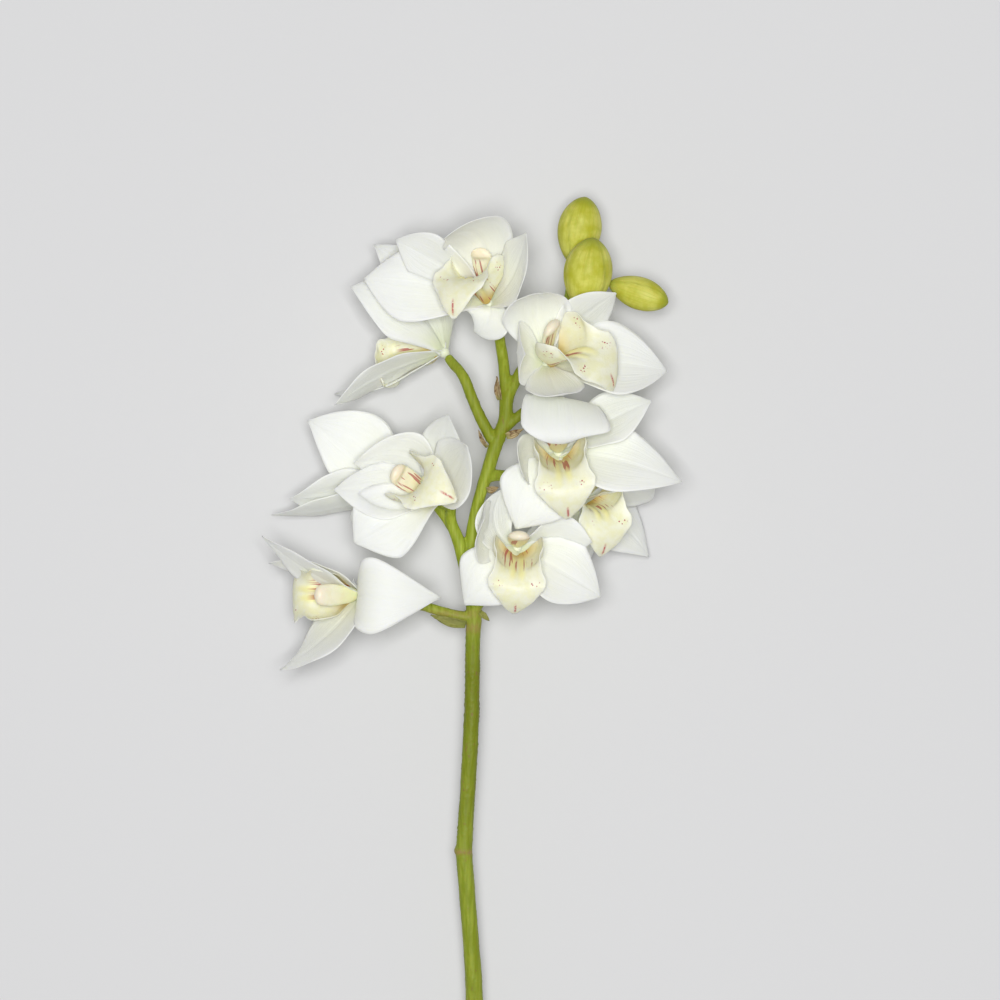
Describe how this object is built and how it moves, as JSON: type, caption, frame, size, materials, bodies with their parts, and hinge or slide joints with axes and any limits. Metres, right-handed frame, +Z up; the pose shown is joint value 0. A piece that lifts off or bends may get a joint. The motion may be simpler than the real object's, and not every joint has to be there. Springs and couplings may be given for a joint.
{
  "type": "cymbidium orchid stem",
  "caption": "Cut cymbidium orchid stem lying on its back, with open white blooms with cream speckled lips, green buds and small dry bracts.",
  "frame": {"origin": "centre of the base of the bounding box of the stem as it lies", "axes": "+Y along the stem from the cut foot to the buds, +Z up from the surface it lies on, towards the viewer of the blooms"},
  "size_m": [0.209, 0.563, 0.1179],
  "materials": {
    "stem_green": "satin",
    "tepal_white": "satin",
    "lip_cream": "satin",
    "column_cream": "satin",
    "bud_green": "satin",
    "bract_brown": "matt"
  },
  "bodies": {
    "root": {"stem": "stem_green", "bloom_A_tepals": "tepal_white", "bloom_A_lip": "lip_cream", "bloom_A_column": "column_cream", "bloom_B_tepals": "tepal_white", "bloom_B_lip": "lip_cream", "bloom_B_column": "column_cream", "bloom_C_tepals": "tepal_white", "bloom_C_lip": "lip_cream", "bloom_C_column": "column_cream", "bloom_D_tepals": "tepal_white", "bloom_D_lip": "lip_cream", "bloom_D_column": "column_cream", "bloom_E_tepals": "tepal_white", "bloom_E_lip": "lip_cream", "bloom_E_column": "column_cream", "bloom_F_tepals": "tepal_white", "bloom_F_lip": "lip_cream", "bloom_F_column": "column_cream", "bloom_G_tepals": "tepal_white", "bloom_G_lip": "lip_cream", "bloom_G_column": "column_cream", "bloom_H_tepals": "tepal_white", "bloom_H_lip": "lip_cream", "bloom_H_column": "column_cream", "bloom_I_tepals": "tepal_white", "bloom_I_lip": "lip_cream", "bloom_I_column": "column_cream", "bud_top": "bud_green", "bud_middle": "bud_green", "bud_right": "bud_green", "bract_1": "bract_brown", "bract_2": "bract_brown", "bract_3": "bract_brown", "bract_4": "bract_brown", "bract_5": "bract_brown", "bract_6": "bract_brown"}
  },
  "joints": []
}
